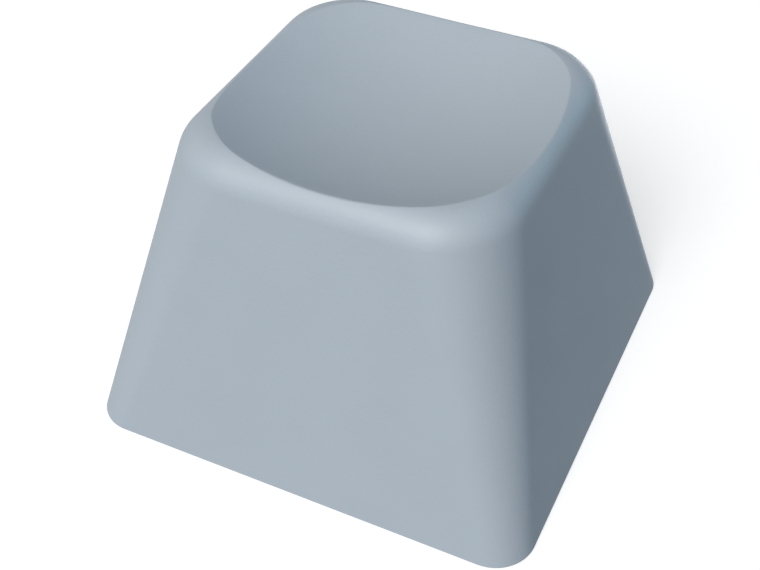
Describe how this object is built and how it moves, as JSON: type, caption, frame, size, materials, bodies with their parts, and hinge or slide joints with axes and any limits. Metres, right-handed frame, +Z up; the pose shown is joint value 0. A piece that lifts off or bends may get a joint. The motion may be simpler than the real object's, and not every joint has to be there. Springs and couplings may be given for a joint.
{
  "type": "blank keycap",
  "caption": "Tall blank one-unit keycap with a tapered square skirt, rolled top edge and spherical finger dish, hollow underneath with a ribbed post and cross socket.",
  "frame": {"origin": "middle of the skirt's rim, in the plane that the cap stands on", "axes": "+Z up out of the finger dish, the front of the key towards -Y, +X to the right"},
  "size_m": [0.0184, 0.0184, 0.0127],
  "materials": {
    "cap_plastic": "blue-grey moulded plastic with a fine matte grain"
  },
  "bodies": {
    "root": {"keycap": "cap_plastic"}
  },
  "joints": []
}
